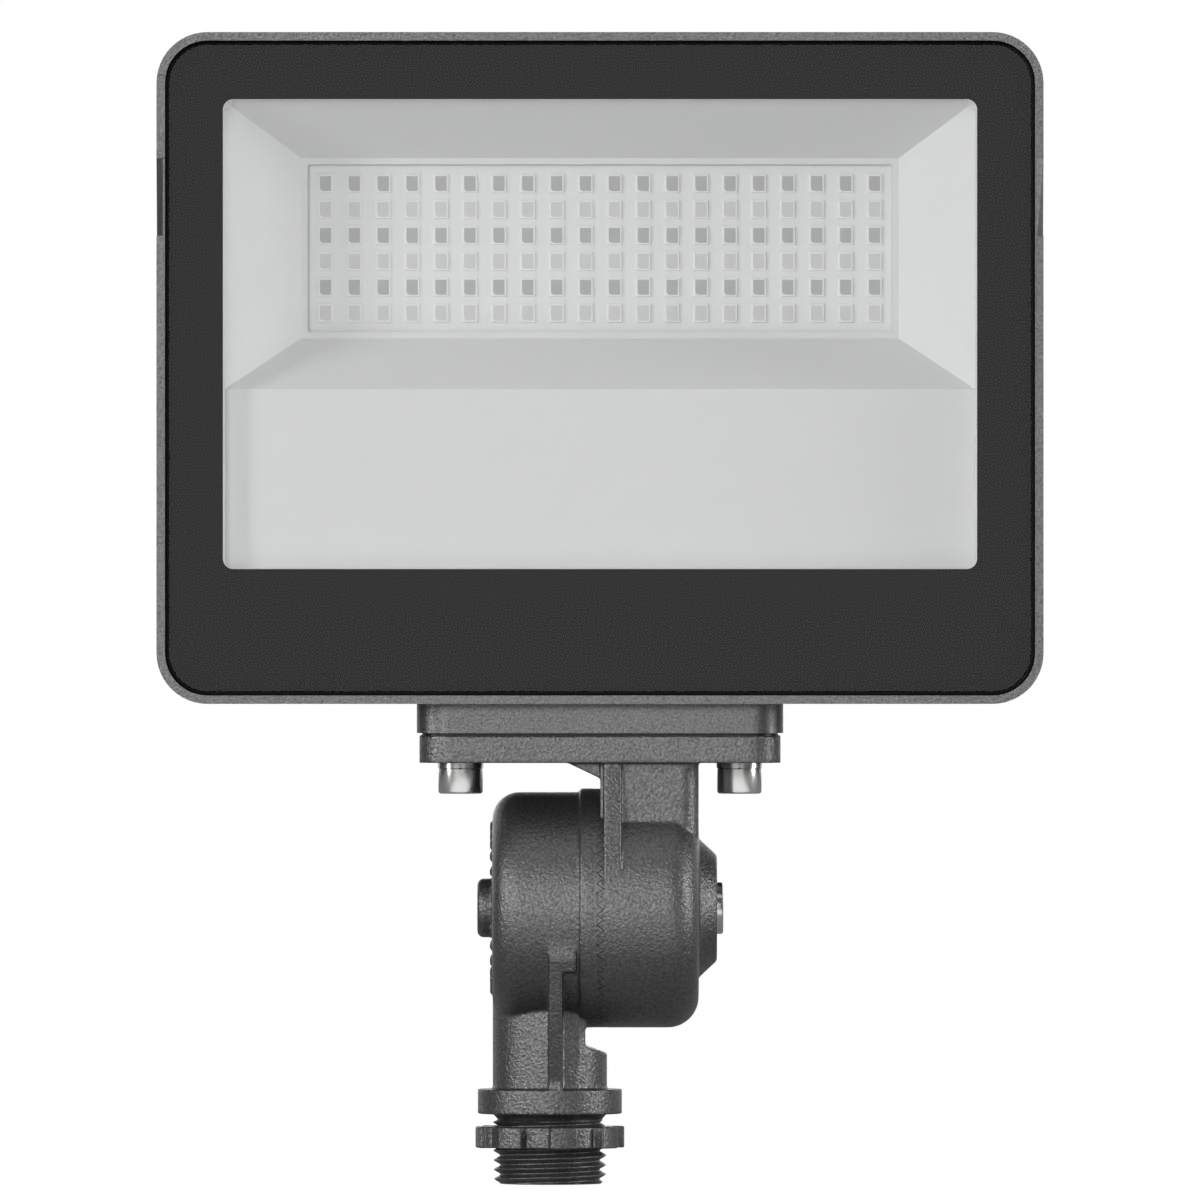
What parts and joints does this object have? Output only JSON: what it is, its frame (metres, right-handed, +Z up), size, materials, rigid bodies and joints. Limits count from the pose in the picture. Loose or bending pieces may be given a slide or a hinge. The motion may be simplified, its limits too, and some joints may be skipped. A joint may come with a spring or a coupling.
{
  "type": "led flood light",
  "caption": "Die-cast rectangular LED flood light head, glass front and finned back, on a toothed tilting knuckle with a half inch conduit thread and locknut.",
  "frame": {"origin": "centre of the free end of the conduit thread", "axes": "+Z up along the thread axis, the light shines towards -Y, +X is to the right in the front view and along the tilt axis"},
  "size_m": [0.169, 0.0459, 0.22],
  "materials": {
    "powder_coat": "dark grey textured powder coat on die-cast aluminium",
    "clear_glass": "flat toughened glass",
    "border_print": "fired black enamel print behind the glass",
    "black_silicone": "black silicone",
    "white_reflector": "satin white sheet",
    "white_board": "white solder mask on an aluminium board",
    "emitter_frame": "white package plastic",
    "phosphor_cool": "silicone with phosphor, cooler light",
    "phosphor_warm": "silicone with phosphor, warmer light",
    "thermal_pad": "grey thermal sheet",
    "bright_steel": "bright stainless steel",
    "insulator": "black insulating sheet",
    "driver_green": "green circuit board",
    "winding_tape": "yellow insulation",
    "capacitor_sleeve": "dark sleeve or moulding",
    "copper_winding": "enamelled copper wire",
    "terminal_plastic": "green terminal block",
    "white_plastic": "white moulding",
    "lead_insulation": "red lead insulation"
  },
  "bodies": {
    "stem": {"knuckle_lower": "powder_coat", "knuckle_o_ring": "black_silicone"},
    "head": {"housing": "powder_coat", "driver_bay": "powder_coat", "cooling_fins": "powder_coat", "head_pad": "powder_coat", "knuckle_upper": "powder_coat", "lens_glass": "clear_glass", "lens_border": "border_print", "lens_gasket": "black_silicone", "wire_grommet": "black_silicone", "flange_gasket": "black_silicone", "reflector": "white_reflector", "led_board": "white_board", "led_frames": "emitter_frame", "phosphor_cool": "phosphor_cool", "phosphor_warm": "phosphor_warm", "thermal_pad": "thermal_pad", "reflector_screws": "bright_steel", "board_screws": "bright_steel", "driver_screws": "bright_steel", "ground_screw": "bright_steel", "flange_screws": "bright_steel", "flange_washers": "bright_steel", "driver_insulator": "insulator", "driver_board": "driver_green", "transformer": "winding_tape", "film_capacitor": "winding_tape", "electrolytic_capacitors": "capacitor_sleeve", "rectifier": "capacitor_sleeve", "fuse": "capacitor_sleeve", "selector_switch": "capacitor_sleeve", "choke": "copper_winding", "input_terminal": "terminal_plastic", "output_terminal": "white_plastic", "led_leads": "lead_insulation"},
    "tilt_bolt": {"tilt_bolt": "bright_steel", "tilt_washer": "bright_steel"},
    "locknut": {"locknut": "powder_coat"},
    "selector_slide": {"selector_slide": "white_plastic"},
    "selector_plug": {"selector_plug": "black_silicone"}
  },
  "joints": [
    {"name": "head_tilt", "type": "hinge", "parent": "stem", "child": "head", "pos_m": [0.0096, 0, 0.0528], "axis": [1, 0, 0], "range_deg": [-90, 90]},
    {"name": "tilt_bolt_turn", "type": "hinge", "parent": "stem", "child": "tilt_bolt", "pos_m": [0.0096, 0, 0.0528], "axis": [1, 0, 0], "continuous": true},
    {"name": "locknut_turn", "type": "hinge", "parent": "stem", "child": "locknut", "pos_m": [0, 0, 0.009], "axis": [0, 0, 1], "continuous": true},
    {"name": "selector_travel", "type": "slide", "parent": "head", "child": "selector_slide", "axis": [1, 0, 0], "range_m": [-0.0025, 0.0025]},
    {"name": "selector_plug_pull", "type": "slide", "parent": "head", "child": "selector_plug", "axis": [0, 1, 0], "range_m": [0, 0.012]}
  ]
}
